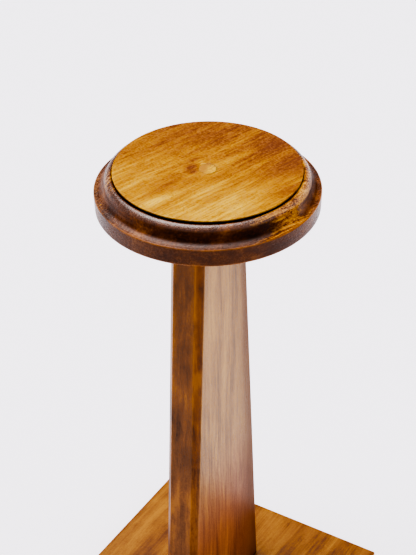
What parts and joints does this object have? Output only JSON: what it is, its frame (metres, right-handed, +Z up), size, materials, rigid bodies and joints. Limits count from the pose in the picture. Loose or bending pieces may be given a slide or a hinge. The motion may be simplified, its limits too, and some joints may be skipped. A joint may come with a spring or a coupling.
{
  "type": "tilt top table",
  "caption": "Small pedestal table: round turned top with an ogee edge that tilts upright on a pivot block, tapered chamfered pillar and square base board.",
  "frame": {"origin": "on the floor under the pillar's axis, at the centre of the base board", "axes": "+Z up; +X is the side of the top that rises when it tilts; Y runs along the pivot and the pillar's wide way"},
  "size_m": [0.3, 0.3, 0.627],
  "materials": {
    "top_wood": "satin lacquered honey wood with a dark stained, worn moulding",
    "plug_wood": "satin lacquered lighter wood",
    "pillar_wood": "glossy dark stained and lacquered wood",
    "base_wood": "satin lacquered honey wood",
    "block_wood": "plain oiled wood",
    "wedge_wood": "plain dark wood",
    "brass": "aged satin brass",
    "steel": "dull bright steel",
    "felt": "dense wool felt"
  },
  "bodies": {
    "stand": {"base_board": "base_wood", "foot_pad_front_left": "felt", "foot_pad_front_right": "felt", "foot_pad_back_left": "felt", "foot_pad_back_right": "felt", "pillar": "pillar_wood", "pillar_dowel_front": "block_wood", "pillar_dowel_back": "block_wood", "base_screw_front_left": "steel", "base_screw_front_right": "steel", "base_screw_back_left": "steel", "base_screw_back_right": "steel", "pivot_block": "block_wood", "tenon_wedge_front": "wedge_wood", "tenon_wedge_back": "wedge_wood", "pivot_bush_front": "brass", "pivot_bush_back": "brass", "catch_keep": "brass", "keep_screw_front": "brass", "keep_screw_back": "brass"},
    "top": {"top_board": "top_wood", "centre_plug": "plug_wood", "bearer_front": "block_wood", "bearer_back": "block_wood", "bearer_screw_front_low": "steel", "bearer_screw_front_middle": "steel", "bearer_screw_front_high": "steel", "bearer_screw_back_low": "steel", "bearer_screw_back_middle": "steel", "bearer_screw_back_high": "steel", "pivot_pin_front": "steel", "pivot_pin_back": "steel", "catch_plate": "brass", "plate_screw_front_inner": "brass", "plate_screw_front_outer": "brass", "plate_screw_back_inner": "brass", "plate_screw_back_outer": "brass", "catch_spring": "steel"},
    "catch": {"catch_bolt": "brass", "catch_knob": "brass"}
  },
  "joints": [
    {"name": "top_tilt", "type": "hinge", "parent": "stand", "child": "top", "pos_m": [-0.032, 0, 0.573], "axis": [0, -1, 0], "range_deg": [0, 90]},
    {"name": "catch_slide", "type": "slide", "parent": "top", "child": "catch", "axis": [-1, 0, 0], "range_m": [0, 0.008]}
  ]
}
